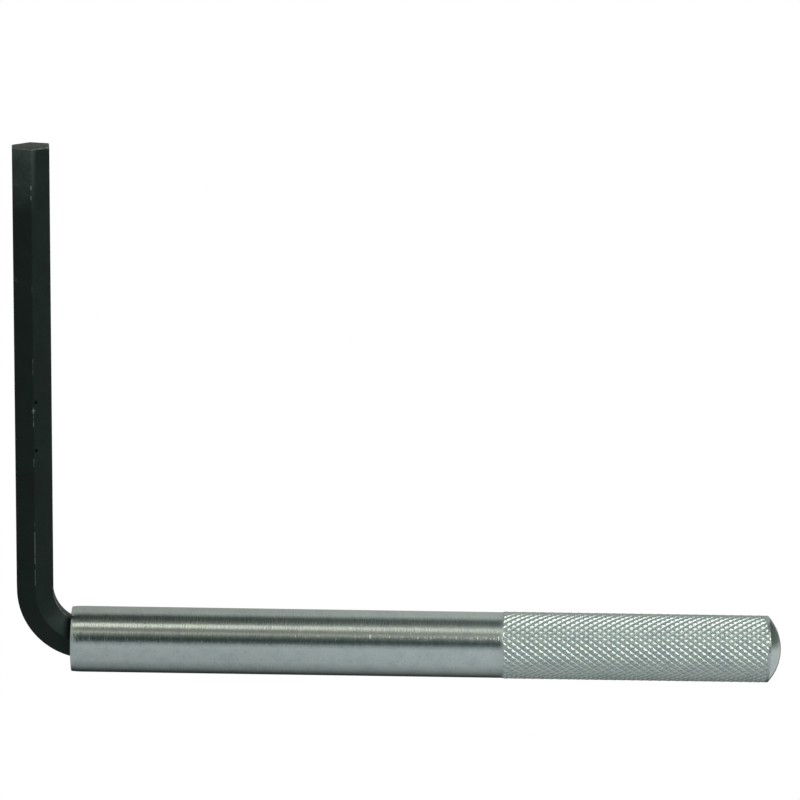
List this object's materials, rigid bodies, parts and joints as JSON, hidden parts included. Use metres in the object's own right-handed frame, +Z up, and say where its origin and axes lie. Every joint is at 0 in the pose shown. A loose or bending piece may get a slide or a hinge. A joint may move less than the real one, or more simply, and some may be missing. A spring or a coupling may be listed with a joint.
{
  "type": "brake caliper wrench",
  "caption": "Bent hexagon key pressed into a round steel bar handle with a knurled, domed grip, for turning socket-headed guide pins.",
  "frame": {"origin": "middle of the footprint on the bench, with the wrench lying flat as it comes to rest", "axes": "+X along the bar from its mouth to its domed end, +Y along the key's long arm towards its tip, +Z up from the bench"},
  "size_m": [0.1484, 0.1031, 0.013],
  "materials": {
    "black_steel": "satin",
    "plated_steel": "satin"
  },
  "bodies": {
    "root": {"hex_key": "black_steel", "handle": "plated_steel"}
  },
  "joints": []
}
